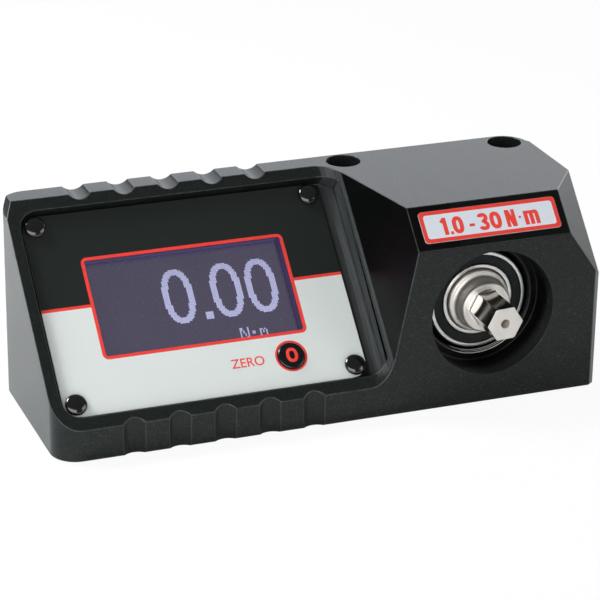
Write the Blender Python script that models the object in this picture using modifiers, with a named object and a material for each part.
"""Bench torque checker: a machined wedge housing with a sloping display, and a block with a hex drive.

Lengths are metres. The housing frame has its origin at the underside's left front corner,
with x to the right, y to the back and z up. Three more frames sit in it: one on the sloping
face (x right, y up the slope, z out of it), one on the torque axis (z into the block) and one
on the label facet. Every piece is placed in the frame that carries it.
"""
import math

import bmesh
import bpy
from mathutils import Matrix, Vector

# Housing block
LENGTH = 0.172
DEPTH = 0.0615
HEIGHT = 0.0624
CORNER_RADIUS = 0.008
FRONT_RIGHT_CHAMFER = 0.00086
TOP_LEFT_CHAMFER_WIDTH = 0.0022
TOP_LEFT_CHAMFER_HEIGHT = 0.0039
BASE_CHAMFER = 0.0004
FOOT_STAND = 0.0006
WALL = 0.004

# Display wedge
LIP_HEIGHT = 0.010
RIDGE_DEPTH = 0.0078
CHEEK_ROOT_X = 0.1036
CHEEK_DRAFT = math.radians(15.5)
CHEEK_FILLET = 0.008
GROOVE_COUNT = 5
GROOVE_FIRST_X = 0.0236
GROOVE_PITCH = 0.014
GROOVE_WIDTH = 0.0067
GROOVE_DEPTH = 0.0014

# Label facet and the cut front right corner
LABEL_FACET = 0.0104
LABEL_ANGLE = math.radians(45.0)
LABEL_LENGTH = 0.0446
LABEL_WIDTH = 0.0102
LABEL_THICKNESS = 0.0004
LABEL_GAP = 0.0002
CORNER_CUT_X = 0.1618
CORNER_CUT_SLOPE = 1.45

# Fascia: the pocket in the slope, the panel and its printed overlay
FASCIA_LEFT = 0.0044
FASCIA_BOTTOM = 0.0051
FASCIA_LENGTH = 0.0948
FASCIA_TOP_MARGIN = 0.00493
FASCIA_CORNER = 0.005
FASCIA_GAP = 0.001
OVERLAY_SUNK = 0.0023
OVERLAY_THICKNESS = 0.0004
PANEL_THICKNESS = 0.0015
POCKET_RIGHT_FILLET = 0.0048
FASCIA_SCREW_INSET = 0.00375
FASCIA_SCREW_HEAD_RADIUS = 0.0033
FASCIA_SCREW_HEAD_HEIGHT = 0.0019
FASCIA_SCREW_RADIUS = 0.0016
FASCIA_SCREW_LENGTH = 0.0088

# Display window and liquid crystal module
WINDOW_CENTRE_X = 0.05165
WINDOW_CENTRE_U = 0.0383
WINDOW_LENGTH = 0.0615
WINDOW_HEIGHT = 0.0306
WINDOW_CORNER = 0.0007
LENS_THICKNESS = 0.0011
BEZEL_BORDER = 0.002
BEZEL_SHEET = 0.0005
BEZEL_WALL = 0.0008
BEZEL_LIP = 0.0015
LCD_GLASS_THICKNESS = 0.0018
BACKLIGHT_THICKNESS = 0.0038

# Main board behind the module
BOARD_BORDER = 0.0076
BOARD_BOTTOM_BORDER = 0.0063
BOARD_TOP_BORDER = 0.0071
BOARD_CORNER = 0.003
BOARD_THICKNESS = 0.0016
STANDOFF_INSET_X = 0.0035
STANDOFF_INSET_U = 0.0040
STANDOFF_RADIUS = 0.0026
BOARD_SCREW_RADIUS = 0.0010
BOARD_SCREW_HEAD_RADIUS = 0.0021
BOARD_SCREW_HEAD_HEIGHT = 0.0015
BOARD_SCREW_LENGTH = 0.0062
CAVITY_BORDER = 0.005
CAVITY_BOTTOM_BORDER = 0.003
CAVITY_CORNER = 0.006

# Zero key and its tactile switch
KEY_X = 0.0766
KEY_U = 0.0148
KEY_RADIUS = 0.0047
KEY_PROUD = 0.0009
KEY_DOME = 0.0004
KEY_FLANGE = 0.0006
KEY_FLANGE_THICKNESS = 0.0008
KEY_STEM_RADIUS = 0.0016
KEY_STEM_LENGTH = 0.0014
KEY_TRAVEL = 0.0005
SWITCH_SIZE = 0.006
SWITCH_HEIGHT = 0.0032
PLUNGER_RADIUS = 0.0016
PLUNGER_PROUD = 0.0010
PLUNGER_SUNK = 0.0013

# Chips and headers on the back of the main board, from its lower left corner:
# centre x, centre u, length, height, thickness
BOARD_PARTS = {
    "processor": (0.028, 0.0186, 0.012, 0.012, 0.0014),
    "gauge_amplifier": (0.054, 0.0346, 0.009, 0.006, 0.0015),
    "sensor_header": (0.0722, 0.0306, 0.008, 0.006, 0.0035),
    "battery_header": (0.0660, 0.0186, 0.008, 0.006, 0.0035),
}

# Battery and data socket
BATTERY_X = 0.022
BATTERY_LENGTH = 0.050
BATTERY_WIDTH = 0.0245
BATTERY_HEIGHT = 0.0125
PAD_THICKNESS = 0.0008
SOCKET_X = 0.045
SOCKET_ABOVE_BATTERY = 0.0008
SOCKET_WIDTH = 0.009
SOCKET_HEIGHT = 0.004
SOCKET_MOUTH_WALL = 0.0006
SOCKET_MOUTH_DEPTH = 0.0028
SOCKET_BOARD_LENGTH = 0.024
SOCKET_BOARD_HEIGHT = 0.011
SOCKET_SCREW_OFFSET = 0.009

# Torque block: the drive recess, the bearing and the transducer on one axis
TORQUE_X = 0.137
TORQUE_Z = 0.0292
RECESS_RADIUS = 0.02025
RECESS_DEPTH = 0.0097
SEAT_CHAMFER = 0.0007
BEARING_FACE = 0.010
BEARING_WIDTH = 0.007
BEARING_OUTER_RADIUS = 0.016
BEARING_BORE_RADIUS = 0.010
OUTER_RING_WALL = 0.0013
INNER_RING_WALL = 0.00135
BALL_RADIUS = 0.0016
BALL_COUNT = 13
SEAL_THICKNESS = 0.0008
SEAL_SUNK = 0.0003
BORE_RADIUS = 0.0135

# Hex drive, the journal it is turned on, and the gauged torsion bar behind it
HEX_ACROSS_FLATS = 0.010
HEX_REACH = 0.0090
HEX_TURN = math.radians(33.0)
HEX_CHAMFER = 0.0005
CENTRE_HOLE_RADIUS = 0.0016
CENTRE_HOLE_DEPTH = 0.0040
BOSS_RADIUS = 0.008
BOSS_FACE = 0.0043
BOSS_CHAMFER = 0.0005
BOSS_FILLET = 0.0014
SHOULDER_RADIUS = 0.0112
SHOULDER_LENGTH = 0.002
COLLAR_RADIUS = 0.008
COLLAR_LENGTH = 0.0045
SHANK_SIZE = 0.0105
SHANK_EDGE = 0.0012
FLANGE_RADIUS = 0.0186
FLANGE_THICKNESS = 0.007
FLANGE_FROM_BACK = 0.0155
HUB_RADIUS = 0.010
HUB_LENGTH = 0.003
GAUGE_SIZE = 0.0058
GAUGE_THICKNESS = 0.00025
FLANGE_SCREW_CIRCLE = 0.016
FLANGE_SCREW_RADIUS = 0.00135
FLANGE_SCREW_HEAD_RADIUS = 0.0026
FLANGE_SCREW_HEAD_HEIGHT = 0.0028
FLANGE_SCREW_LENGTH = 0.0148
FLANGE_SCREW_COUNT = 4

# Rear cover
COVER_SIZE = 0.046
COVER_CORNER = 0.004
COVER_THICKNESS = 0.002
COVER_SCREW_OFFSET = 0.0195
COVER_SCREW_RADIUS = 0.00135
COVER_SCREW_HEAD_RADIUS = 0.0026
COVER_SCREW_HEAD_HEIGHT = 0.0013
COVER_SCREW_LENGTH = 0.007

# Bolt holes down through the block
BOLT_OFFSET = 0.0276
BOLT_FROM_BACK = 0.0063
BOLT_RADIUS = 0.0033
BOLT_HEAD_RADIUS = 0.0054
BOLT_HEAD_DEPTH = 0.008

# Feet
FOOT_RADIUS = 0.005
FOOT_SUNK = 0.0006
FOOT_INSET_X = 0.012
FOOT_INSET_Y = 0.010
REAR_RIGHT_FOOT_INSET_X = 0.022

# Leads
LEAD_RADIUS = 0.0011
PASSAGE_RADIUS = 0.0035
PASSAGE_FROM_FLANGE = 0.004
PASSAGE_BELOW_AXIS = 0.0047
LEAD_STUB = 0.004
LEAD_BOW = 0.002
DATA_PAD_X = 0.0401
DATA_PAD_U = 0.0346
DATA_PIN = 0.005

# Clearances
SEAT = 0.0003
HOLE_CLEARANCE = 0.0004
CUT_BEYOND = 0.004

MERGE_DISTANCE = 0.000002

COARSE_STEPS = 16
ROUND_STEPS = 24
FINE_STEPS = 48
FLANGE_STEPS = 52
RECESS_STEPS = 72

# Heights in the slope frame, worked out from the rim down
OVERLAY_TOP = -OVERLAY_SUNK
PANEL_TOP = OVERLAY_TOP - OVERLAY_THICKNESS - SEAT
PANEL_BACK = PANEL_TOP - PANEL_THICKNESS
POCKET_FLOOR = PANEL_BACK - SEAT
BEZEL_TOP = PANEL_BACK - SEAT
GLASS_TOP = BEZEL_TOP - BEZEL_SHEET - SEAT
BACKLIGHT_TOP = GLASS_TOP - LCD_GLASS_THICKNESS - SEAT
BOARD_TOP = BACKLIGHT_TOP - BACKLIGHT_THICKNESS - SEAT
BOARD_BACK = BOARD_TOP - BOARD_THICKNESS

SLOPE_ANGLE = math.atan2(HEIGHT - LIP_HEIGHT, DEPTH - RIDGE_DEPTH)
SLOPE_LENGTH = math.hypot(HEIGHT - LIP_HEIGHT, DEPTH - RIDGE_DEPTH)
BOLT_Y = DEPTH - BOLT_FROM_BACK

# The fascia fills the slope, and the board behind it keeps its borders to the fascia
FASCIA_HEIGHT = SLOPE_LENGTH - FASCIA_BOTTOM - FASCIA_TOP_MARGIN
BOARD_LEFT = FASCIA_LEFT + BOARD_BORDER
BOARD_LENGTH = FASCIA_LENGTH - 2 * BOARD_BORDER
BOARD_BOTTOM = FASCIA_BOTTOM + BOARD_BOTTOM_BORDER
BOARD_HEIGHT = FASCIA_HEIGHT - BOARD_BOTTOM_BORDER - BOARD_TOP_BORDER

# Along the torque axis, from the drive's side and from the back
FLANGE_FACE = DEPTH - FLANGE_FROM_BACK
COLLAR_FRONT = BEARING_FACE + BEARING_WIDTH + 2 * SEAT + SHOULDER_LENGTH
GAUGE_PLACE = (COLLAR_FRONT + COLLAR_LENGTH + FLANGE_FACE + SEAT - HUB_LENGTH) / 2
PASSAGE_Y = FLANGE_FACE - PASSAGE_FROM_FLANGE
PASSAGE_Z = TORQUE_Z - PASSAGE_BELOW_AXIS

# Behind the fascia: the battery on its pad against the back wall, and the socket's board over it
BATTERY_BACK = DEPTH - WALL - 2 * SEAT
BATTERY_LOW = WALL + PAD_THICKNESS + 2 * SEAT
SOCKET_Z = BATTERY_LOW + BATTERY_HEIGHT + SOCKET_ABOVE_BATTERY + SOCKET_BOARD_HEIGHT / 2


def clear_scene():
    """Remove whatever the file opened with."""
    for obj in list(bpy.data.objects):
        bpy.data.objects.remove(obj, do_unlink=True)


clear_scene()
PARTS = bpy.data.collections.new("torque_checker")
CUTTERS = bpy.data.collections.new("cutters")
bpy.context.scene.collection.children.link(PARTS)
bpy.context.scene.collection.children.link(CUTTERS)


def make_frame(name, matrix, parent=None):
    """An empty that pieces are placed in."""
    empty = bpy.data.objects.new(name, None)
    empty.empty_display_size = 0.01
    PARTS.objects.link(empty)
    empty.parent = parent
    empty.matrix_local = matrix
    return empty


HOUSING = make_frame("housing_frame", Matrix.Translation((-LENGTH / 2, (HEX_REACH - DEPTH) / 2, FOOT_STAND)))
SLOPE = make_frame("slope_frame",
                   Matrix.Translation((0, 0, LIP_HEIGHT)) @ Matrix.Rotation(SLOPE_ANGLE, 4, "X"),
                   HOUSING)
AXIS = make_frame("torque_axis",
                  Matrix.Translation((TORQUE_X, 0, TORQUE_Z)) @ Matrix.Rotation(-math.pi / 2, 4, "X"),
                  HOUSING)
FACET = make_frame("label_frame", Matrix.Translation((TORQUE_X, 0, HEIGHT - LABEL_FACET))
                   @ Matrix.Rotation(LABEL_ANGLE, 4, "X"), HOUSING)


def make_material(name, colour, roughness, metallic=0.0):
    """A plain Principled material."""
    material = bpy.data.materials.new(name)
    material.use_nodes = True
    shader = material.node_tree.nodes["Principled BSDF"]
    shader.inputs["Base Color"].default_value = (*colour, 1.0)
    shader.inputs["Roughness"].default_value = roughness
    shader.inputs["Metallic"].default_value = metallic
    material.diffuse_color = (*colour, 1.0)
    return material


BLACK_PAINT = make_material("black_paint", (0.018, 0.021, 0.021), 0.45)
OVERLAY_PRINT = make_material("overlay_print", (0.62, 0.66, 0.65), 0.4)
PANEL_SHEET = make_material("panel_sheet", (0.03, 0.03, 0.03), 0.5)
CLEAR_LENS = make_material("clear_lens", (0.25, 0.24, 0.32), 0.08)
LCD_GLASS = make_material("lcd_glass", (0.07, 0.065, 0.11), 0.2)
TIN_SHEET = make_material("tin_sheet", (0.6, 0.6, 0.6), 0.35, 1.0)
WHITE_PLASTIC = make_material("white_plastic", (0.8, 0.8, 0.8), 0.4)
GREEN_BOARD = make_material("green_board", (0.02, 0.16, 0.06), 0.45)
BRASS = make_material("brass", (0.7, 0.52, 0.22), 0.3, 1.0)
ZINC_STEEL = make_material("zinc_steel", (0.62, 0.62, 0.6), 0.3, 1.0)
GLOSS_BLACK = make_material("gloss_black", (0.006, 0.006, 0.006), 0.15)
CHIP_PLASTIC = make_material("chip_plastic", (0.02, 0.02, 0.02), 0.5)
CELL_WRAP = make_material("cell_wrap", (0.05, 0.12, 0.35), 0.35)
GREY_FOAM = make_material("grey_foam", (0.2, 0.2, 0.2), 0.9)
LEAD_GREY = make_material("lead_grey", (0.25, 0.25, 0.26), 0.5)
BEARING_STEEL = make_material("bearing_steel", (0.64, 0.64, 0.62), 0.25, 1.0)
SEAL_RUBBER = make_material("seal_rubber", (0.015, 0.018, 0.017), 0.5)
NICKEL = make_material("nickel", (0.68, 0.65, 0.62), 0.28, 1.0)
GAUGE_FOIL = make_material("gauge_foil", (0.55, 0.35, 0.12), 0.4)
LABEL_PRINT = make_material("label_print", (0.68, 0.72, 0.76), 0.4)
FOOT_RUBBER = make_material("foot_rubber", (0.02, 0.02, 0.02), 0.85)


def add_object(name, mesh, frame, material=None, at=(0, 0, 0), turn=None):
    """Link a mesh as a piece, or as a cutter where it has no material."""
    obj = bpy.data.objects.new(name, mesh)
    if material is None:
        CUTTERS.objects.link(obj)
        obj.hide_render = True
        obj.display_type = "WIRE"
    else:
        PARTS.objects.link(obj)
        mesh.materials.append(material)
    obj.parent = frame
    obj.matrix_local = Matrix.Translation(at) @ (turn or Matrix.Identity(4))
    return obj


def smooth(mesh, angle=math.radians(32)):
    """Round faces shade smooth and keep their corners sharp."""
    mesh.shade_smooth()
    mesh.set_sharp_from_angle(angle=angle)


def box_mesh(name, size, corner=0.0, steps=5):
    """A box about the origin, with its four upright edges rounded when a corner radius is given."""
    mesh = bpy.data.meshes.new(name)
    bm = bmesh.new()
    bmesh.ops.create_cube(bm, size=1.0)
    bmesh.ops.scale(bm, vec=Vector(size), verts=bm.verts)
    if corner:
        upright = [e for e in bm.edges if abs(e.verts[0].co.z - e.verts[1].co.z) > size[2] / 2]
        bmesh.ops.bevel(bm, geom=upright, offset=corner, segments=steps, profile=0.5, affect="EDGES")
    bm.to_mesh(mesh)
    bm.free()
    return mesh


def box(name, low, high, frame, material=None, corner=0.0, steps=5, turn=None):
    """A box from its low to its high corner in a frame."""
    low, high = Vector(low), Vector(high)
    return add_object(name, box_mesh(name, high - low, corner, steps), frame, material, (low + high) / 2,
                      turn)


def cylinder(name, radius, low, high, frame, material=None, at=(0, 0), steps=ROUND_STEPS, turn=None):
    """A cylinder along the frame's z, or along the turned z, from low to high."""
    mesh = bpy.data.meshes.new(name)
    bm = bmesh.new()
    bmesh.ops.create_cone(bm, cap_ends=True, segments=steps, radius1=radius, radius2=radius, depth=high - low,
                          matrix=Matrix.Translation((0, 0, (low + high) / 2)))
    bm.to_mesh(mesh)
    bm.free()
    smooth(mesh)
    place = at if len(at) == 3 else (*at, 0)
    return add_object(name, mesh, frame, material, place, turn)


def turned(name, profile, frame, material=None, at=(0, 0), steps=FINE_STEPS, closed=False):
    """A profile of (radius, z) points, run down its outer side, turned about the frame's z by a Screw."""
    mesh = bpy.data.meshes.new(name)
    count = len(profile)
    edges = [(i, i + 1) for i in range(count - 1)]
    if closed:
        edges.append((count - 1, 0))
    mesh.from_pydata([(radius, 0, z) for radius, z in profile], edges, [])
    obj = add_object(name, mesh, frame, material, (*at, 0) if len(at) == 2 else at)
    screw = obj.modifiers.new("turn", "SCREW")
    screw.axis = "Z"
    screw.angle = 2 * math.pi
    screw.steps = steps
    screw.render_steps = steps
    screw.use_merge_vertices = True
    screw.merge_threshold = 0.00001
    screw.use_smooth_shade = False
    return obj


def arc(centre, radius, start, end, steps):
    """Points along an arc, from the start angle to the end angle."""
    turns = (start + (end - start) * i / steps for i in range(steps + 1))
    return [(centre[0] + radius * math.cos(a), centre[1] + radius * math.sin(a)) for a in turns]


def outline_solid(name, points, low, high, frame, turn=None):
    """A cutter from a flat outline: a 2D curve, filled and extruded from low to high, made a mesh."""
    curve = bpy.data.curves.new(name, "CURVE")
    curve.dimensions = "2D"
    curve.fill_mode = "BOTH"
    curve.extrude = (high - low) / 2
    spline = curve.splines.new("POLY")
    spline.points.add(len(points) - 1)
    for point, (x, y) in zip(spline.points, points):
        point.co = (x, y, 0, 1)
    spline.use_cyclic_u = True
    drawn = bpy.data.objects.new(name + "_outline", curve)
    CUTTERS.objects.link(drawn)
    graph = bpy.context.evaluated_depsgraph_get()
    mesh = bpy.data.meshes.new_from_object(drawn.evaluated_get(graph))
    bpy.data.objects.remove(drawn, do_unlink=True)
    bm = bmesh.new()
    bm.from_mesh(mesh)
    bmesh.ops.remove_doubles(bm, verts=bm.verts, dist=MERGE_DISTANCE)
    bmesh.ops.translate(bm, verts=bm.verts, vec=(0, 0, (low + high) / 2))
    bmesh.ops.recalc_face_normals(bm, faces=bm.faces)
    bm.to_mesh(mesh)
    bm.free()
    return add_object(name, mesh, frame, None, (0, 0, 0), turn)


def combine(obj, other, operation="DIFFERENCE"):
    """Add a Boolean with another object."""
    boolean = obj.modifiers.new(other.name, "BOOLEAN")
    boolean.operation = operation
    boolean.solver = "EXACT"
    boolean.object = other


def cut(obj, *cutters):
    """Cut an object with each cutter in turn."""
    for cutter in cutters:
        combine(obj, cutter)


def smooth_by_angle(obj):
    """Bake a piece's modifiers into its mesh, join the points that its Booleans left, and shade it."""
    bpy.context.view_layer.update()
    graph = bpy.context.evaluated_depsgraph_get()
    mesh = bpy.data.meshes.new_from_object(obj.evaluated_get(graph))
    bm = bmesh.new()
    bm.from_mesh(mesh)
    bmesh.ops.remove_doubles(bm, verts=bm.verts, dist=MERGE_DISTANCE)
    bmesh.ops.dissolve_degenerate(bm, edges=bm.edges, dist=MERGE_DISTANCE)
    bm.to_mesh(mesh)
    bm.free()
    obj.modifiers.clear()
    obj.data = mesh
    smooth(mesh)


def screw_piece(name, head, shank, frame, material, at, dome=False, up=1):
    """A screw on the frame's z. head: radius, seat, height. shank: radius, length. up: side of its head."""
    head_radius, seat, head_height = head
    shank_radius, length = shank
    top = head_height
    if dome:
        side = 0.25 * head_height
        bow = [(head_radius * math.sin(a), side + (top - side) * math.cos(a))
               for a in (math.pi / 2 * i / 6 for i in range(7))]
        profile = bow + [(head_radius, 0)]
    else:
        edge = 0.2 * head_height
        profile = [(0, top), (head_radius - edge, top), (head_radius, top - edge), (head_radius, 0)]
    profile += [(shank_radius, 0), (shank_radius, -length), (0, -length)]
    if up < 0:
        profile = [(radius, -z) for radius, z in reversed(profile)]
    return turned(name, profile, frame, material, (at[0], at[1], seat),
                  COARSE_STEPS if not dome else ROUND_STEPS)


def make_slope_cutter():
    """The wedge of air before the sloping face: flat up to the cheek, a fillet, then the leaning cheek."""
    lean = math.pi / 2 - CHEEK_DRAFT
    tangent = CHEEK_FILLET * math.tan(lean / 2)
    start_x = CHEEK_ROOT_X - tangent
    fillet = arc((start_x, CHEEK_FILLET), CHEEK_FILLET, -math.pi / 2, -math.pi / 2 + lean, 9)
    reach = DEPTH
    far = (CHEEK_ROOT_X + reach * math.tan(CHEEK_DRAFT), reach)
    points = [(-CUT_BEYOND, 0)] + fillet + [far, (-CUT_BEYOND, reach)]
    turn = Matrix.Rotation(math.pi / 2, 4, "X")
    return outline_solid("slope_cutter", points, -2 * SLOPE_LENGTH, SLOPE_LENGTH, SLOPE, turn)


def make_pocket_cutter():
    """The fascia's pocket: round corners in plan, and a concave right wall that runs up into the cheek."""
    low_x = FASCIA_LEFT - FASCIA_GAP
    low_u = FASCIA_BOTTOM - FASCIA_GAP
    high_u = FASCIA_BOTTOM + FASCIA_HEIGHT + FASCIA_GAP
    curve_x = FASCIA_LEFT + FASCIA_LENGTH + 2 * SEAT / 3
    high_x = curve_x + POCKET_RIGHT_FILLET
    rise = POCKET_FLOOR + POCKET_RIGHT_FILLET
    wall = arc((curve_x, rise), POCKET_RIGHT_FILLET, -math.pi / 2, 0, 7)
    points = [(low_x - CUT_BEYOND, POCKET_FLOOR)] + wall + [(high_x, CUT_BEYOND),
                                                            (low_x - CUT_BEYOND, CUT_BEYOND)]
    turn = Matrix.Rotation(math.pi / 2, 4, "X")
    section = outline_solid("pocket_section", points, -high_u - CUT_BEYOND, -low_u + CUT_BEYOND, SLOPE, turn)
    pocket = box("pocket_cutter", (low_x, low_u, POCKET_FLOOR - CUT_BEYOND),
                 (high_x + SEAT, high_u, CUT_BEYOND), SLOPE, corner=FASCIA_CORNER + FASCIA_GAP, steps=6)
    combine(pocket, section, "INTERSECT")
    return pocket


def make_cavity_cutter():
    """The hollow behind the fascia: a shaft square to the slope, closed by the floor and the back wall."""
    shaft = box("cavity_cutter", (FASCIA_LEFT + CAVITY_BORDER, FASCIA_BOTTOM + CAVITY_BOTTOM_BORDER, -DEPTH),
                (FASCIA_LEFT + FASCIA_LENGTH - CAVITY_BORDER, FASCIA_BOTTOM + FASCIA_HEIGHT - CAVITY_BORDER,
                 POCKET_FLOOR + CUT_BEYOND / 4), SLOPE, corner=CAVITY_CORNER, steps=5)
    inside = box("cavity_limits", (0, -DEPTH, WALL), (LENGTH, DEPTH - WALL, 2 * HEIGHT), HOUSING)
    combine(shaft, inside, "INTERSECT")
    return shaft


def make_groove_cutters():
    """Round-bottomed grooves: across the top ridge from front to back, and up the front lip."""
    radius = (GROOVE_WIDTH ** 2 / 4 + GROOVE_DEPTH ** 2) / (2 * GROOVE_DEPTH)
    top = cylinder("ridge_groove_cutter", radius, -CUT_BEYOND, DEPTH + CUT_BEYOND, HOUSING,
                   at=(GROOVE_FIRST_X, 0, HEIGHT + radius - GROOVE_DEPTH),
                   turn=Matrix.Rotation(-math.pi / 2, 4, "X"), steps=36)
    front = cylinder("lip_groove_cutter", radius, -CUT_BEYOND, HEIGHT, HOUSING,
                     at=(GROOVE_FIRST_X, GROOVE_DEPTH - radius, 0), steps=36)
    for cutter in (top, front):
        repeat = cutter.modifiers.new("pitch", "ARRAY")
        repeat.count = GROOVE_COUNT
        repeat.use_relative_offset = False
        repeat.use_constant_offset = True
        repeat.constant_offset_displace = (GROOVE_PITCH, 0, 0)
    return top, front


def make_plane_cutters():
    """Flat cuts: the label facet, the front right corner and the top left edge."""
    reach = DEPTH
    facet = box("facet_cutter", (-LENGTH, -reach, 0), (LENGTH, reach, reach), FACET)
    normal = Vector((CORNER_CUT_SLOPE, -1, 1)).normalized()
    origin = Vector((CORNER_CUT_X, 0, HEIGHT - LABEL_FACET))
    turn = normal.to_track_quat("Z", "Y").to_matrix().to_4x4()
    corner = add_object("corner_cutter", box_mesh("corner_cutter", (4 * reach, 4 * reach, reach)), HOUSING,
                        None, origin + normal * reach / 2, turn)
    lean = math.atan2(TOP_LEFT_CHAMFER_HEIGHT, TOP_LEFT_CHAMFER_WIDTH)
    direction = Vector((-math.sin(lean), 0, math.cos(lean)))
    edge = Vector((0, DEPTH / 2, HEIGHT - TOP_LEFT_CHAMFER_HEIGHT))
    left = add_object("top_left_cutter", box_mesh("top_left_cutter", (reach, 2 * DEPTH, reach)), HOUSING,
                      None, edge + direction * reach / 2, Matrix.Rotation(-lean, 4, "Y"))
    return facet, corner, left


def fascia_screw_places():
    """The four screw centres, in x and u, at the overlay's corners."""
    low_x = FASCIA_LEFT + FASCIA_SCREW_INSET
    high_x = FASCIA_LEFT + FASCIA_LENGTH - FASCIA_SCREW_INSET
    low_u = FASCIA_BOTTOM + FASCIA_SCREW_INSET
    high_u = FASCIA_BOTTOM + FASCIA_HEIGHT - FASCIA_SCREW_INSET
    return [(low_x, low_u), (high_x, low_u), (low_x, high_u), (high_x, high_u)]


def standoff_places():
    """The four fixing centres of the main board, in x and u."""
    low_x = BOARD_LEFT + STANDOFF_INSET_X
    high_x = BOARD_LEFT + BOARD_LENGTH - STANDOFF_INSET_X
    low_u = BOARD_BOTTOM + STANDOFF_INSET_U
    high_u = BOARD_BOTTOM + BOARD_HEIGHT - STANDOFF_INSET_U
    return [(low_x, low_u), (high_x, low_u), (low_x, high_u), (high_x, high_u)]


def on_circle(radius, count, first=math.pi / 4):
    """Places on a bolt circle about the torque axis."""
    turns = (first + 2 * math.pi * i / count for i in range(count))
    return [(radius * math.cos(a), radius * math.sin(a)) for a in turns]


def cover_screw_places():
    """The rear cover's four corner screws about the torque axis."""
    return [(x * COVER_SCREW_OFFSET, y * COVER_SCREW_OFFSET) for x in (-1, 1) for y in (-1, 1)]


def foot_places():
    """The feet's centres under the housing; the rear right one stands clear of its bolt hole."""
    high_x = LENGTH - FOOT_INSET_X
    high_y = DEPTH - FOOT_INSET_Y
    return [(FOOT_INSET_X, FOOT_INSET_Y), (high_x, FOOT_INSET_Y), (FOOT_INSET_X, high_y),
            (LENGTH - REAR_RIGHT_FOOT_INSET_X, high_y)]


def make_block():
    """The block before it is cut: rounded upright corners, one small chamfer, and a broken base edge."""
    mesh = bpy.data.meshes.new("housing")
    bm = bmesh.new()
    bmesh.ops.create_cube(bm, size=1.0)
    bmesh.ops.scale(bm, vec=(LENGTH, DEPTH, HEIGHT), verts=bm.verts)
    bmesh.ops.translate(bm, vec=(LENGTH / 2, DEPTH / 2, HEIGHT / 2), verts=bm.verts)
    upright = [e for e in bm.edges if abs(e.verts[0].co.z - e.verts[1].co.z) > HEIGHT / 2]
    sharp = [e for e in upright if e.verts[0].co.x > LENGTH / 2 and e.verts[0].co.y < DEPTH / 2]
    round_edges = [e for e in upright if e not in sharp]
    bmesh.ops.bevel(bm, geom=round_edges, offset=CORNER_RADIUS, segments=9, profile=0.5, affect="EDGES")
    sharp = [e for e in bm.edges if e.is_valid and abs(e.verts[0].co.z - e.verts[1].co.z) > HEIGHT / 2
             and e.verts[0].co.x > LENGTH - CORNER_RADIUS / 2 and e.verts[0].co.y < CORNER_RADIUS / 2]
    bmesh.ops.bevel(bm, geom=sharp, offset=FRONT_RIGHT_CHAMFER, segments=1, affect="EDGES")
    base = [e for e in bm.edges if all(v.co.z < HEIGHT / 2 for v in e.verts)]
    bmesh.ops.bevel(bm, geom=base, offset=BASE_CHAMFER, segments=1, affect="EDGES")
    bm.to_mesh(mesh)
    bm.free()
    return add_object("housing", mesh, HOUSING, BLACK_PAINT)


def make_bore_cutter():
    """The stepped bore along the torque axis: flange seat, shaft bore, bearing seat and the open recess."""
    flange_radius = FLANGE_RADIUS + SEAT
    seat_radius = BEARING_OUTER_RADIUS + SEAT
    seat_end = BEARING_FACE + BEARING_WIDTH + SEAT
    profile = [(0, DEPTH + CUT_BEYOND), (flange_radius, DEPTH + CUT_BEYOND), (flange_radius, FLANGE_FACE),
               (BORE_RADIUS, FLANGE_FACE), (BORE_RADIUS, seat_end), (seat_radius, seat_end),
               (seat_radius, RECESS_DEPTH + SEAT_CHAMFER), (seat_radius + SEAT_CHAMFER, RECESS_DEPTH),
               (RECESS_RADIUS, RECESS_DEPTH), (RECESS_RADIUS, -CUT_BEYOND), (0, -CUT_BEYOND)]
    return turned("bore_cutter", profile, AXIS, steps=RECESS_STEPS)


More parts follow.
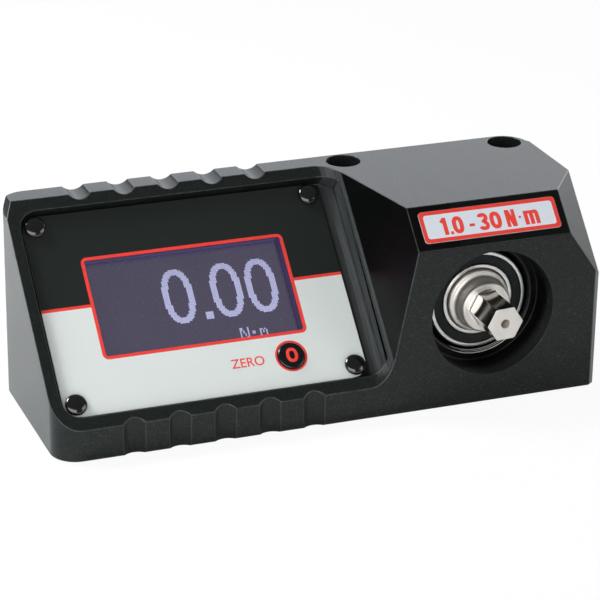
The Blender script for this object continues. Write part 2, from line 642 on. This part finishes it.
def make_housing():
    """The machined body that carries everything."""
    housing = make_block()
    cut(housing, make_slope_cutter(), *make_plane_cutters(), *make_groove_cutters())
    cut(housing, make_pocket_cutter(), make_cavity_cutter())

    half = COVER_SIZE / 2 + SEAT
    cover_floor = DEPTH - COVER_THICKNESS - 2 * SEAT
    cover = box("cover_cutter", (-half, -half, cover_floor), (half, half, DEPTH + CUT_BEYOND), AXIS,
                corner=COVER_CORNER + SEAT)
    cut(housing, make_bore_cutter(), cover)

    for index, place in enumerate(on_circle(FLANGE_SCREW_CIRCLE, FLANGE_SCREW_COUNT)):
        depth = FLANGE_FACE + FLANGE_THICKNESS + 2 * SEAT - FLANGE_SCREW_LENGTH - 2 * SEAT
        cut(housing, cylinder(f"flange_thread_cutter_{index + 1}", FLANGE_SCREW_RADIUS + HOLE_CLEARANCE,
                              depth, FLANGE_FACE + CUT_BEYOND / 4, AXIS, at=place, steps=COARSE_STEPS))
    for index, place in enumerate(cover_screw_places()):
        depth = DEPTH - SEAT - COVER_SCREW_LENGTH - SEAT
        cut(housing, cylinder(f"cover_thread_cutter_{index + 1}", COVER_SCREW_RADIUS + HOLE_CLEARANCE, depth,
                              DEPTH, AXIS, at=place, steps=COARSE_STEPS))
    for index, place in enumerate(fascia_screw_places()):
        depth = OVERLAY_TOP + SEAT - FASCIA_SCREW_LENGTH - 2 * SEAT
        cut(housing, cylinder(f"fascia_thread_cutter_{index + 1}", FASCIA_SCREW_RADIUS + SEAT, depth,
                              POCKET_FLOOR + CUT_BEYOND / 4, SLOPE, at=place, steps=COARSE_STEPS))
    for side in (-1, 1):
        place = (TORQUE_X + side * BOLT_OFFSET, BOLT_Y)
        cut(housing, cylinder(f"bolt_cutter{side:+d}", BOLT_RADIUS, -CUT_BEYOND, HEIGHT - BOLT_HEAD_DEPTH / 2,
                              HOUSING, at=place),
            cylinder(f"bolt_head_cutter{side:+d}", BOLT_HEAD_RADIUS, HEIGHT - BOLT_HEAD_DEPTH,
                     HEIGHT + CUT_BEYOND, HOUSING, at=place, steps=32))
    for index, place in enumerate(foot_places()):
        cut(housing, cylinder(f"foot_cutter_{index + 1}", FOOT_RADIUS + SEAT, -CUT_BEYOND, FOOT_SUNK, HOUSING,
                              at=place))

    passage = cylinder("passage_cutter", PASSAGE_RADIUS, FASCIA_LEFT + FASCIA_LENGTH - 2 * CAVITY_BORDER,
                       TORQUE_X - BORE_RADIUS + CUT_BEYOND, HOUSING, at=(0, PASSAGE_Y, PASSAGE_Z),
                       turn=Matrix.Rotation(math.pi / 2, 4, "Y"), steps=COARSE_STEPS)
    half_width = SOCKET_WIDTH / 2 + SEAT
    half_height = SOCKET_HEIGHT / 2 + SEAT
    socket = box("socket_cutter", (SOCKET_X - half_width, DEPTH - 2 * WALL, SOCKET_Z - half_height),
                 (SOCKET_X + half_width, DEPTH + CUT_BEYOND, SOCKET_Z + half_height), HOUSING)
    cut(housing, passage, socket)
    for side in (-1, 1):
        cut(housing, cylinder(f"socket_thread_cutter{side:+d}", BOARD_SCREW_RADIUS + SEAT, DEPTH - 2 * WALL,
                              DEPTH - WALL / 3, HOUSING,
                              at=(SOCKET_X + side * SOCKET_SCREW_OFFSET, 0, SOCKET_Z),
                              turn=Matrix.Rotation(-math.pi / 2, 4, "X"), steps=COARSE_STEPS))
    smooth_by_angle(housing)


def make_fascia():
    """The panel and the printed overlay on it, with the window, the key hole and four screw holes cut."""
    low_x, low_u = FASCIA_LEFT, FASCIA_BOTTOM
    high_x, high_u = FASCIA_LEFT + FASCIA_LENGTH, FASCIA_BOTTOM + FASCIA_HEIGHT
    half_length, half_height = WINDOW_LENGTH / 2, WINDOW_HEIGHT / 2
    window = box("window_cutter", (WINDOW_CENTRE_X - half_length, WINDOW_CENTRE_U - half_height,
                                   -2 * OVERLAY_SUNK),
                 (WINDOW_CENTRE_X + half_length, WINDOW_CENTRE_U + half_height, 0), SLOPE,
                 corner=WINDOW_CORNER, steps=4)
    window.location.z -= PANEL_THICKNESS / 2
    key = cylinder("key_hole_cutter", KEY_RADIUS + SEAT, POCKET_FLOOR, 0, SLOPE, at=(KEY_X, KEY_U),
                   steps=FINE_STEPS)
    holes = [cylinder(f"fascia_hole_cutter_{index + 1}", FASCIA_SCREW_RADIUS + HOLE_CLEARANCE, POCKET_FLOOR,
                      0, SLOPE, at=place) for index, place in enumerate(fascia_screw_places())]
    overlay = box("display_overlay", (low_x, low_u, OVERLAY_TOP - OVERLAY_THICKNESS),
                  (high_x, high_u, OVERLAY_TOP), SLOPE, OVERLAY_PRINT, corner=FASCIA_CORNER, steps=6)
    panel = box("fascia_panel", (low_x, low_u, PANEL_BACK), (high_x, high_u, PANEL_TOP), SLOPE, PANEL_SHEET,
                corner=FASCIA_CORNER, steps=6)
    for plate in (overlay, panel):
        cut(plate, window, key, *holes)
        smooth_by_angle(plate)
    for index, place in enumerate(fascia_screw_places()):
        screw_piece(f"fascia_screw_{index + 1}",
                    (FASCIA_SCREW_HEAD_RADIUS, OVERLAY_TOP + SEAT, FASCIA_SCREW_HEAD_HEIGHT),
                    (FASCIA_SCREW_RADIUS, FASCIA_SCREW_LENGTH), SLOPE, GLOSS_BLACK, place, dome=True)


def centred_box(name, length, height, top, thickness, material=None, corner=0.0):
    """A plate centred on the window, its front at a height in the slope frame."""
    return box(name, (WINDOW_CENTRE_X - length / 2, WINDOW_CENTRE_U - height / 2, top - thickness),
               (WINDOW_CENTRE_X + length / 2, WINDOW_CENTRE_U + height / 2, top), SLOPE, material,
               corner=corner)


def make_display():
    """Lens, tin bezel, glass and backlight, one behind another under the window."""
    centred_box("display_lens", WINDOW_LENGTH - 2 * SEAT, WINDOW_HEIGHT - 2 * SEAT, PANEL_TOP, LENS_THICKNESS,
                CLEAR_LENS)
    length = WINDOW_LENGTH + 2 * BEZEL_BORDER
    height = WINDOW_HEIGHT + 2 * BEZEL_BORDER
    bezel = centred_box("lcd_bezel", length, height, BEZEL_TOP, BEZEL_TOP - BOARD_TOP - SEAT, TIN_SHEET,
                        corner=0.001)
    inner_length = length - 2 * BEZEL_WALL
    inner_height = height - 2 * BEZEL_WALL
    hollow = centred_box("bezel_hollow_cutter", inner_length, inner_height, BEZEL_TOP - BEZEL_SHEET,
                         2 * BEZEL_TOP - 2 * BOARD_TOP)
    view = centred_box("bezel_view_cutter", inner_length - 2 * BEZEL_LIP + BEZEL_WALL,
                       inner_height - 2 * BEZEL_LIP + BEZEL_WALL, BEZEL_TOP + CUT_BEYOND / 4,
                       CUT_BEYOND / 2)
    cut(bezel, hollow, view)
    glass_length = inner_length - 2 * SEAT
    glass_height = inner_height - 2 * SEAT
    centred_box("lcd_glass", glass_length, glass_height, GLASS_TOP, LCD_GLASS_THICKNESS, LCD_GLASS)
    centred_box("lcd_backlight", glass_length, glass_height, BACKLIGHT_TOP, BACKLIGHT_THICKNESS,
                WHITE_PLASTIC)


def make_main_board():
    """The board on four standoffs behind the fascia, with its screws, chips and headers."""
    board = box("main_board", (BOARD_LEFT, BOARD_BOTTOM, BOARD_BACK),
                (BOARD_LEFT + BOARD_LENGTH, BOARD_BOTTOM + BOARD_HEIGHT, BOARD_TOP), SLOPE, GREEN_BOARD,
                corner=BOARD_CORNER)
    bore = BOARD_SCREW_RADIUS + SEAT
    standoff_end = BOARD_TOP + SEAT
    standoff_top = PANEL_BACK - SEAT
    bore_top = (standoff_top + standoff_end) / 2 + 2 * BOARD_SCREW_RADIUS / 3 + SEAT
    for index, place in enumerate(standoff_places()):
        cut(board, cylinder(f"board_hole_cutter_{index + 1}", bore, BOARD_BACK - SEAT, BOARD_TOP + SEAT,
                            SLOPE, at=place, steps=COARSE_STEPS))
        outer = STANDOFF_RADIUS
        turned(f"board_standoff_{index + 1}",
               [(0, standoff_top), (outer, standoff_top), (outer, standoff_end), (bore, standoff_end),
                (bore, bore_top), (0, bore_top)], SLOPE, BRASS, place, COARSE_STEPS)
        screw_piece(f"board_screw_{index + 1}",
                    (BOARD_SCREW_HEAD_RADIUS, BOARD_BACK - SEAT, BOARD_SCREW_HEAD_HEIGHT),
                    (BOARD_SCREW_RADIUS, BOARD_SCREW_LENGTH - BOARD_THICKNESS / 2), SLOPE, ZINC_STEEL, place,
                    up=-1)
    for name, (x, u, length, height, thickness) in BOARD_PARTS.items():
        back = BOARD_BACK - SEAT
        low_x = BOARD_LEFT + x - length / 2
        low_u = BOARD_BOTTOM + u - height / 2
        box(name, (low_x, low_u, back - thickness), (low_x + length, low_u + height, back), SLOPE,
            WHITE_PLASTIC if name.endswith("header") else CHIP_PLASTIC)


def make_key():
    """The domed zero key, held behind the panel by its flange, and the tactile switch that it presses."""
    top = OVERLAY_TOP + KEY_PROUD
    flange_top = PANEL_BACK - SEAT
    flange_bottom = flange_top - KEY_FLANGE_THICKNESS
    flange_radius = KEY_RADIUS + SEAT + KEY_FLANGE
    stem_end = flange_bottom - KEY_STEM_LENGTH
    rim = KEY_RADIUS / 12
    dome = [(KEY_RADIUS * 0.92 * i / 4, top - KEY_DOME * (i / 4) ** 2) for i in range(5)]
    profile = dome + [(KEY_RADIUS, top - KEY_DOME - rim), (KEY_RADIUS, flange_top),
                      (flange_radius, flange_top), (flange_radius, flange_bottom),
                      (KEY_STEM_RADIUS, flange_bottom), (KEY_STEM_RADIUS, stem_end), (0, stem_end)]
    turned("zero_key", profile, SLOPE, GLOSS_BLACK, (KEY_X, KEY_U), 32)

    body_bottom = BOARD_TOP + SEAT
    body_top = body_bottom + SWITCH_HEIGHT
    half = SWITCH_SIZE / 2
    body = box("zero_switch", (KEY_X - half, KEY_U - half, body_bottom),
               (KEY_X + half, KEY_U + half, body_top), SLOPE, CHIP_PLASTIC)
    well = cylinder("plunger_well_cutter", PLUNGER_RADIUS + SEAT, body_top - PLUNGER_SUNK - KEY_TRAVEL - SEAT,
                    body_top + CUT_BEYOND, SLOPE, at=(KEY_X, KEY_U))
    cut(body, well)
    cylinder("switch_plunger", PLUNGER_RADIUS, body_top - PLUNGER_SUNK,
             min(body_top + PLUNGER_PROUD, stem_end - SEAT), SLOPE, GLOSS_BLACK, at=(KEY_X, KEY_U),
             steps=COARSE_STEPS)


def make_battery():
    """Two rechargeable cells in one wrap, lying on a foam pad on the floor against the back wall."""
    box("battery_pad", (BATTERY_X, BATTERY_BACK - BATTERY_WIDTH, WALL + SEAT),
        (BATTERY_X + BATTERY_LENGTH, BATTERY_BACK, WALL + SEAT + PAD_THICKNESS), HOUSING, GREY_FOAM)
    mesh = box_mesh("battery_pack", (BATTERY_HEIGHT, BATTERY_WIDTH, BATTERY_LENGTH), BATTERY_HEIGHT * 0.49, 7)
    smooth(mesh)
    centre = (BATTERY_X + BATTERY_LENGTH / 2, BATTERY_BACK - BATTERY_WIDTH / 2,
              BATTERY_LOW + BATTERY_HEIGHT / 2)
    add_object("battery_pack", mesh, HOUSING, CELL_WRAP, centre, Matrix.Rotation(math.pi / 2, 4, "Y"))


def make_data_socket():
    """The data and charging socket in the back wall, on a small board held by two screws."""
    inner = DEPTH - WALL
    half_width, half_height = SOCKET_WIDTH / 2, SOCKET_HEIGHT / 2
    socket = box("data_socket", (SOCKET_X - half_width, inner, SOCKET_Z - half_height),
                 (SOCKET_X + half_width, DEPTH - SEAT, SOCKET_Z + half_height), HOUSING, TIN_SHEET)
    wall = SOCKET_MOUTH_WALL
    mouth = box("socket_mouth_cutter", (SOCKET_X - half_width + wall, DEPTH - SOCKET_MOUTH_DEPTH,
                                        SOCKET_Z - half_height + wall),
                (SOCKET_X + half_width - wall, DEPTH + CUT_BEYOND, SOCKET_Z + half_height - wall), HOUSING)
    cut(socket, mouth)
    board = box("socket_board", (SOCKET_X - SOCKET_BOARD_LENGTH / 2, inner - SEAT - BOARD_THICKNESS,
                                 SOCKET_Z - SOCKET_BOARD_HEIGHT / 2),
                (SOCKET_X + SOCKET_BOARD_LENGTH / 2, inner - SEAT, SOCKET_Z + SOCKET_BOARD_HEIGHT / 2),
                HOUSING, GREEN_BOARD)
    back_turn = Matrix.Rotation(-math.pi / 2, 4, "X")
    for index, side in enumerate((-1, 1)):
        x = SOCKET_X + side * SOCKET_SCREW_OFFSET
        cut(board, cylinder(f"socket_hole_cutter_{index + 1}", BOARD_SCREW_RADIUS + SEAT, inner - 2 * WALL,
                            inner, HOUSING, at=(x, 0, SOCKET_Z), turn=back_turn, steps=COARSE_STEPS))
        carrier = make_frame(f"socket_screw_frame_{index + 1}",
                             Matrix.Translation((x, 0, SOCKET_Z)) @ back_turn, HOUSING)
        seat = inner - 2 * SEAT - BOARD_THICKNESS
        screw_piece(f"socket_screw_{index + 1}", (BOARD_SCREW_HEAD_RADIUS, seat, BOARD_SCREW_HEAD_HEIGHT),
                    (BOARD_SCREW_RADIUS, BOARD_THICKNESS + WALL / 2), carrier, ZINC_STEEL, (0, 0), up=-1)


def ring_profile(inner, outer, low, high, race_at=None, race_radius=0.0, race_side="inner"):
    """A closed ring section, outer side first, with a ball groove on one side."""
    middle = (low + high) / 2
    groove = []
    if race_at:
        centre = race_at
        limit = inner if race_side == "inner" else outer
        half = math.sqrt(race_radius ** 2 - (centre - limit) ** 2)
        for i in range(5):
            z = half - 2 * half * i / 4
            r = math.sqrt(race_radius ** 2 - z ** 2)
            groove.append((centre + r if race_side == "inner" else centre - r, middle + z))
    if race_side == "outer":
        return [(outer, high)] + groove + [(outer, low), (inner, low), (inner, high)]
    return [(outer, high), (outer, low), (inner, low)] + groove[::-1] + [(inner, high)]


def make_bearing():
    """A sealed thin ball bearing in its seat: two rings, two seals, and the balls held in their cage."""
    low, high = BEARING_FACE, BEARING_FACE + BEARING_WIDTH
    outer_inner = BEARING_OUTER_RADIUS - OUTER_RING_WALL
    inner_outer = BEARING_BORE_RADIUS + INNER_RING_WALL
    pitch = (outer_inner + inner_outer) / 2
    race_radius = BALL_RADIUS + SEAT
    turned("bearing_outer_ring", ring_profile(outer_inner, BEARING_OUTER_RADIUS, low, high, pitch,
                                              race_radius, "inner"), AXIS, BEARING_STEEL, closed=True)
    turned("bearing_inner_ring", ring_profile(BEARING_BORE_RADIUS, inner_outer, low, high, pitch, race_radius,
                                              "outer"), AXIS, BEARING_STEEL, closed=True)
    seal_inner, seal_outer = inner_outer + SEAT, outer_inner - SEAT
    for name, start in (("front", low + SEAL_SUNK), ("rear", high - SEAL_SUNK - SEAL_THICKNESS)):
        turned(f"bearing_{name}_seal", ring_profile(seal_inner, seal_outer, start, start + SEAL_THICKNESS),
               AXIS, SEAL_RUBBER, closed=True)

    middle = (low + high) / 2
    half_cage = BALL_RADIUS / 2
    half_web = (outer_inner - inner_outer) / 2 - 2 * SEAT
    cage = turned("bearing_ball_cage", ring_profile(pitch - half_web / 2, pitch + half_web / 2,
                                                    middle - half_cage, middle + half_cage),
                  AXIS, BRASS, steps=39, closed=True)
    mesh = bpy.data.meshes.new("balls")
    bm = bmesh.new()
    for x, y in on_circle(pitch, BALL_COUNT, 0.0):
        bmesh.ops.create_icosphere(bm, subdivisions=2, radius=BALL_RADIUS,
                                   matrix=Matrix.Translation((x, y, middle)))
    bm.to_mesh(mesh)
    bm.free()
    combine(cage, add_object("ball_tool", mesh, AXIS), "UNION")


def make_hex_drive():
    """One turned piece: shoulder, bearing journal, boss and the hex that takes the tool under test."""
    rear = BEARING_FACE + BEARING_WIDTH + SEAT + SHOULDER_LENGTH
    shoulder_front = BEARING_FACE + BEARING_WIDTH + SEAT
    journal = BEARING_BORE_RADIUS - SEAT
    foot = arc((BOSS_RADIUS + BOSS_FILLET, BEARING_FACE - BOSS_FILLET), BOSS_FILLET, math.pi / 2, math.pi, 4)
    profile = [(0, rear), (SHOULDER_RADIUS, rear), (SHOULDER_RADIUS, shoulder_front),
               (journal, shoulder_front),
               (journal, BEARING_FACE)] + foot + [(BOSS_RADIUS, BOSS_FACE + BOSS_CHAMFER),
                                                  (BOSS_RADIUS - BOSS_CHAMFER, BOSS_FACE), (0, BOSS_FACE)]
    drive = turned("hex_drive", profile, AXIS, NICKEL)
    corner = HEX_ACROSS_FLATS / math.sqrt(3)
    flank = Matrix.Rotation(-HEX_TURN, 4, "Z")
    hexagon = cylinder("hex_tool", corner, -HEX_REACH, BOSS_FACE + BOSS_RADIUS / 4, AXIS, steps=6, turn=flank)
    chamfer = turned("hex_chamfer_tool", [(0, BOSS_FACE + BOSS_RADIUS), (2 * corner, BOSS_FACE + BOSS_RADIUS),
                                          (2 * corner, -HEX_REACH + 2 * HEX_CHAMFER + (corner * 0.577)),
                                          (corner - HEX_CHAMFER * 1.73, -HEX_REACH), (0, -HEX_REACH)], AXIS)
    combine(hexagon, chamfer, "INTERSECT")
    combine(drive, hexagon, "UNION")
    tip = -HEX_REACH
    floor = tip + CENTRE_HOLE_DEPTH
    cut(drive, turned("centre_hole_cutter", [(0, floor + CENTRE_HOLE_RADIUS / 2), (CENTRE_HOLE_RADIUS, floor),
                                             (CENTRE_HOLE_RADIUS, tip - CUT_BEYOND), (0, tip - CUT_BEYOND)],
                      AXIS, steps=ROUND_STEPS))
    smooth_by_angle(drive)


def make_torsion_bar():
    """The transducer's elastic half: a collar, a square gauged shank and the flange bolted to the block."""
    collar_end = COLLAR_FRONT + COLLAR_LENGTH
    flange_front = FLANGE_FACE + SEAT
    flange_rear = flange_front + FLANGE_THICKNESS
    profile = [(0, flange_rear), (FLANGE_RADIUS, flange_rear), (FLANGE_RADIUS, flange_front),
               (HUB_RADIUS, flange_front), (HUB_RADIUS, flange_front - HUB_LENGTH),
               (0, flange_front - HUB_LENGTH)]
    bar = turned("torsion_bar", profile, AXIS, NICKEL, steps=FLANGE_STEPS)
    half = SHANK_SIZE / 2
    shank = box("shank_tool", (-half, -half, collar_end - COLLAR_LENGTH / 2),
                (half, half, flange_front + FLANGE_THICKNESS / 2), AXIS, corner=SHANK_EDGE, steps=3)
    collar = cylinder("collar_tool", COLLAR_RADIUS, COLLAR_FRONT, collar_end, AXIS, steps=32)
    combine(bar, shank, "UNION")
    combine(bar, collar, "UNION")
    for index, place in enumerate(on_circle(FLANGE_SCREW_CIRCLE, FLANGE_SCREW_COUNT)):
        cut(bar, cylinder(f"flange_hole_cutter_{index + 1}", FLANGE_SCREW_RADIUS + HOLE_CLEARANCE,
                          flange_front - CUT_BEYOND / 4, flange_rear + CUT_BEYOND / 4, AXIS, at=place,
                          steps=COARSE_STEPS))
        screw_piece(f"flange_screw_{index + 1}",
                    (FLANGE_SCREW_HEAD_RADIUS, flange_rear + SEAT, FLANGE_SCREW_HEAD_HEIGHT),
                    (FLANGE_SCREW_RADIUS, FLANGE_SCREW_LENGTH), AXIS, ZINC_STEEL, place)
    smooth_by_angle(bar)
    for index, side in enumerate((-1, 1)):
        low = half + SEAT
        faces = sorted((side * low, side * (low + GAUGE_THICKNESS)))
        box(f"strain_gauge_{index + 1}", (faces[0], -GAUGE_SIZE / 2, GAUGE_PLACE - GAUGE_SIZE / 2),
            (faces[1], GAUGE_SIZE / 2, GAUGE_PLACE + GAUGE_SIZE / 2), AXIS, GAUGE_FOIL)


def make_rear_cover():
    """The square plate that closes the transducer bore at the back, held by a screw in each corner."""
    half = COVER_SIZE / 2
    outer = DEPTH - SEAT
    cover = box("rear_cover", (-half, -half, outer - COVER_THICKNESS), (half, half, outer), AXIS, BLACK_PAINT,
                corner=COVER_CORNER)
    seat = outer - COVER_SCREW_HEAD_HEIGHT
    for index, place in enumerate(cover_screw_places()):
        sink = turned(f"cover_sink_cutter_{index + 1}",
                      [(0, outer + CUT_BEYOND), (COVER_SCREW_HEAD_RADIUS + SEAT, outer + CUT_BEYOND),
                       (COVER_SCREW_HEAD_RADIUS + SEAT, seat - SEAT),
                       (COVER_SCREW_RADIUS + HOLE_CLEARANCE, seat - SEAT),
                       (COVER_SCREW_RADIUS + HOLE_CLEARANCE, outer - 2 * COVER_THICKNESS),
                       (0, outer - 2 * COVER_THICKNESS)], AXIS, at=place, steps=ROUND_STEPS)
        cut(cover, sink)
        screw_piece(f"cover_screw_{index + 1}", (COVER_SCREW_HEAD_RADIUS, seat, COVER_SCREW_HEAD_HEIGHT),
                    (COVER_SCREW_RADIUS, COVER_SCREW_LENGTH - COVER_SCREW_HEAD_HEIGHT), AXIS, ZINC_STEEL,
                    place)
    smooth_by_angle(cover)


def make_label():
    """The range label in the middle of its facet."""
    middle = LABEL_FACET / math.sin(LABEL_ANGLE) / 2
    half_length, half_width = LABEL_LENGTH / 2, LABEL_WIDTH / 2
    box("range_label", (-half_length, middle - half_width, LABEL_GAP),
        (half_length, middle + half_width, LABEL_GAP + LABEL_THICKNESS), FACET, LABEL_PRINT, corner=0.001,
        steps=3)


def make_feet():
    """Four rubber discs in shallow recesses under the housing."""
    for index, place in enumerate(foot_places()):
        cylinder(f"foot_{index + 1}", FOOT_RADIUS, -FOOT_STAND, FOOT_SUNK - SEAT, HOUSING, FOOT_RUBBER,
                 at=place)


def lead(name, route):
    """A lead along a smooth curve through the route's points, as a bevelled curve with filled caps."""
    points = [Vector(p) for p in route]
    ends = [2 * points[0] - points[1]] + points + [2 * points[-1] - points[-2]]
    path = []
    for a, b, c, d in zip(ends, ends[1:], ends[2:], ends[3:]):
        steps = 4
        for i in range(steps):
            t = i / steps
            path.append(0.5 * (2 * b + (c - a) * t + (2 * a - 5 * b + 4 * c - d) * t ** 2
                               + (3 * b - a - 3 * c + d) * t ** 3))
    path.append(points[-1])
    curve = bpy.data.curves.new(name, "CURVE")
    curve.dimensions = "3D"
    curve.bevel_depth = LEAD_RADIUS
    curve.bevel_resolution = 2
    curve.use_fill_caps = True
    spline = curve.splines.new("POLY")
    spline.points.add(len(path) - 1)
    for point, place in zip(spline.points, path):
        point.co = (*place, 1)
    curve.materials.append(LEAD_GREY)
    obj = bpy.data.objects.new(name, curve)
    PARTS.objects.link(obj)
    obj.parent = HOUSING


def slope_point(x, u, h):
    """A point of the slope frame in the housing frame."""
    return (x, u * math.cos(SLOPE_ANGLE) - h * math.sin(SLOPE_ANGLE),
            LIP_HEIGHT + u * math.sin(SLOPE_ANGLE) + h * math.cos(SLOPE_ANGLE))


def header_side(name):
    """The middle of a header's right side, where its lead plugs in."""
    x, u, length, _, thickness = BOARD_PARTS[name]
    return slope_point(BOARD_LEFT + x + length / 2 + SEAT, BOARD_BOTTOM + u,
                       BOARD_BACK - SEAT - thickness / 2)


def make_leads():
    """The gauge, battery and data leads inside the housing."""
    gauge_x = TORQUE_X - SHANK_SIZE / 2 - 2 * SEAT - GAUGE_THICKNESS
    header = header_side("sensor_header")
    inside = FASCIA_LEFT + FASCIA_LENGTH - CAVITY_BORDER
    lead("sensor_lead", [
        (gauge_x, GAUGE_PLACE, TORQUE_Z),
        (gauge_x - LEAD_BOW, GAUGE_PLACE, TORQUE_Z),
        (gauge_x - LEAD_STUB, GAUGE_PLACE + LEAD_STUB, TORQUE_Z - LEAD_BOW),
        (gauge_x - LEAD_STUB - LEAD_BOW, PASSAGE_Y - SEAT,
         (TORQUE_Z - LEAD_BOW + PASSAGE_Z) / 2 - LEAD_BOW / 4),
        (gauge_x - 3 * LEAD_STUB, PASSAGE_Y, PASSAGE_Z),
        (inside + LEAD_BOW, PASSAGE_Y, PASSAGE_Z),
        (inside - LEAD_BOW, (PASSAGE_Y + header[1]) / 2, (PASSAGE_Z + header[2]) / 2),
        (header[0] + LEAD_BOW, header[1], header[2]), header])
    header = header_side("battery_header")
    end = BATTERY_X + BATTERY_LENGTH + SEAT
    cell_y = BATTERY_BACK - BATTERY_WIDTH / 2
    cell_z = BATTERY_LOW + BATTERY_HEIGHT / 2
    side = max(end, header[0]) + LEAD_STUB
    lead("battery_lead", [
        (end, cell_y, cell_z),
        (end + LEAD_STUB, cell_y, cell_z),
        (side + LEAD_BOW, (cell_y + header[1]) / 2 + LEAD_BOW, (cell_z + header[2]) / 2),
        (header[0] + LEAD_STUB, header[1], header[2]), header])
    board = slope_point(BOARD_LEFT + DATA_PAD_X, BOARD_BOTTOM + DATA_PAD_U, BOARD_BACK - SEAT)
    start = (SOCKET_X + DATA_PIN, DEPTH - WALL - BOARD_THICKNESS - 2 * SEAT, SOCKET_Z + LEAD_BOW)
    normal = Vector((0, math.sin(SLOPE_ANGLE), -math.cos(SLOPE_ANGLE)))
    lead("data_lead", [start, (start[0], start[1] - LEAD_STUB, start[2]),
                       tuple(Vector(board) + normal * LEAD_STUB), board])


make_housing()
make_fascia()
make_display()
make_main_board()
make_key()
make_battery()
make_data_socket()
make_bearing()
make_hex_drive()
make_torsion_bar()
make_rear_cover()
make_label()
make_feet()
make_leads()
